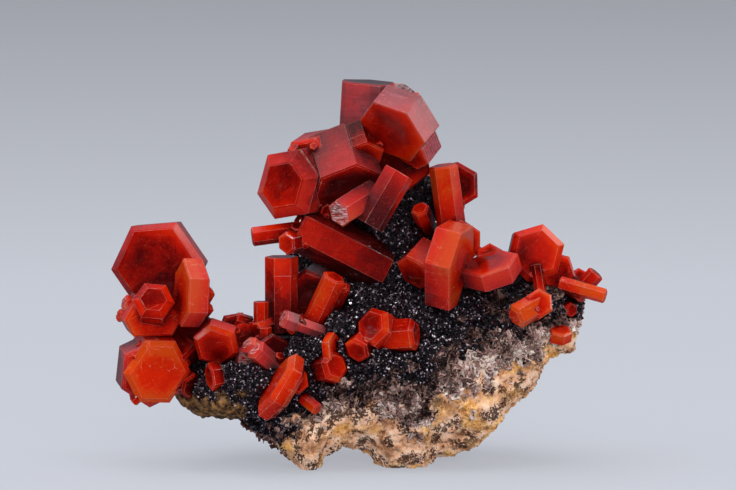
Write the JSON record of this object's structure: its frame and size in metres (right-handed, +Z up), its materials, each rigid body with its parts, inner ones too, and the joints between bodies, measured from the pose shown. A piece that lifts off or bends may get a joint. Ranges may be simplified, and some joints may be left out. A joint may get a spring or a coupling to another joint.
{
  "type": "mineral specimen",
  "caption": "Cluster of red hexagonal vanadinite crystals grown on a dark, drusy matrix that rests on its pale foot.",
  "frame": {"origin": "centre of the bounding box's bottom, on the plane that the specimen rests on", "axes": "+X along the specimen's length, to the right as it is displayed; -Y towards the viewer of the display side; +Z up"},
  "size_m": [0.0591, 0.0287, 0.0461],
  "materials": {
    "vanadinite": "gloss",
    "matrix": "matte"
  },
  "bodies": {
    "root": {"matrix": "matrix", "left_crystal_cluster": "vanadinite", "lower_left_crystal_cluster": "vanadinite", "middle_crystal_cluster": "vanadinite", "low_middle_crystals": "vanadinite", "summit_crystal_cluster": "vanadinite", "shoulder_crystal_cluster": "vanadinite", "right_crystal_cluster": "vanadinite", "right_flank_crystals": "vanadinite", "centre_crystals": "vanadinite", "back_left_crystal_cluster": "vanadinite", "back_right_crystal_cluster": "vanadinite", "dark_spire_crystal": "vanadinite", "spire_back_crystal": "vanadinite", "spire_back_upper_crystal": "vanadinite", "spire_back_side_crystal": "vanadinite", "spire_back_low_crystal": "vanadinite", "small_left_crystal": "vanadinite", "embedded_crystal": "vanadinite", "right_edge_crystal": "vanadinite", "right_foot_crystal": "vanadinite"}
  },
  "joints": []
}
